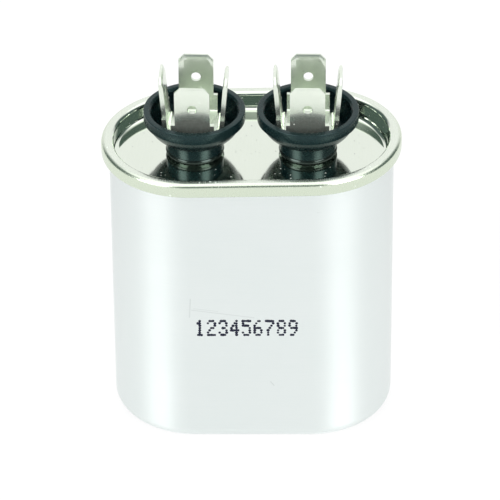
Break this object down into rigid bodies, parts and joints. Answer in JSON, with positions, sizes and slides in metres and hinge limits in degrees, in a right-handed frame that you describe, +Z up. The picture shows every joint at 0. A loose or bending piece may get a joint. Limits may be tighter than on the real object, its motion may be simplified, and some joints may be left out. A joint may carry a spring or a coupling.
{
  "type": "motor run capacitor",
  "caption": "Obround drawn can with a double-seamed sunk cover and two black terminal cups, each carrying a cross of quick-connect blades, round an oil-filled film winding.",
  "frame": {"origin": "centre of the base, on the surface that the can stands on", "axes": "+Z up along the can to the blades, +X along the long side through both terminals, +Y towards the back flat side"},
  "size_m": [0.0548, 0.0332, 0.0715],
  "materials": {
    "can_aluminium": "drawn, satin with a light polish",
    "cover_tinplate": "bright tinplate, near mirror",
    "compound_rubber": "cured sealing compound",
    "gasket_rubber": "smooth black rubber",
    "cup_phenolic": "moulded black, semi-gloss",
    "blade_tin": "stamped, tin plated",
    "rivet_tin": "headed, tin plated",
    "bushing_phenolic": "moulded brown",
    "board_phenolic": "punched laminate",
    "lug_brass": "stamped brass",
    "lead_sleeve": "insulated wire",
    "insulator_pp": "moulded polypropylene",
    "spray_zinc": "flame-sprayed zinc, rough",
    "film_roll": "edge of a metallised film roll",
    "core_plastic": "flattened tube",
    "wrap_film": "insulating wrap"
  },
  "bodies": {
    "root": {"case": "can_aluminium", "cover": "cover_tinplate", "seam_compound": "compound_rubber", "cup_gasket_left": "gasket_rubber", "cup_gasket_right": "gasket_rubber", "terminal_cup_left": "cup_phenolic", "terminal_cup_right": "cup_phenolic", "blade_terminal_left": "blade_tin", "blade_terminal_right": "blade_tin", "terminal_rivet_left": "rivet_tin", "terminal_rivet_right": "rivet_tin", "inner_bushing_left": "bushing_phenolic", "inner_bushing_right": "bushing_phenolic", "interrupter_board": "board_phenolic", "inner_lug_left": "lug_brass", "inner_lug_right": "lug_brass", "lead_short": "lead_sleeve", "lead_long": "lead_sleeve", "top_insulator": "insulator_pp", "end_spray_top": "spray_zinc", "winding": "film_roll", "winding_core": "core_plastic", "end_spray_bottom": "spray_zinc", "wrap_sleeve": "wrap_film", "bottom_insulator": "insulator_pp"}
  },
  "joints": []
}
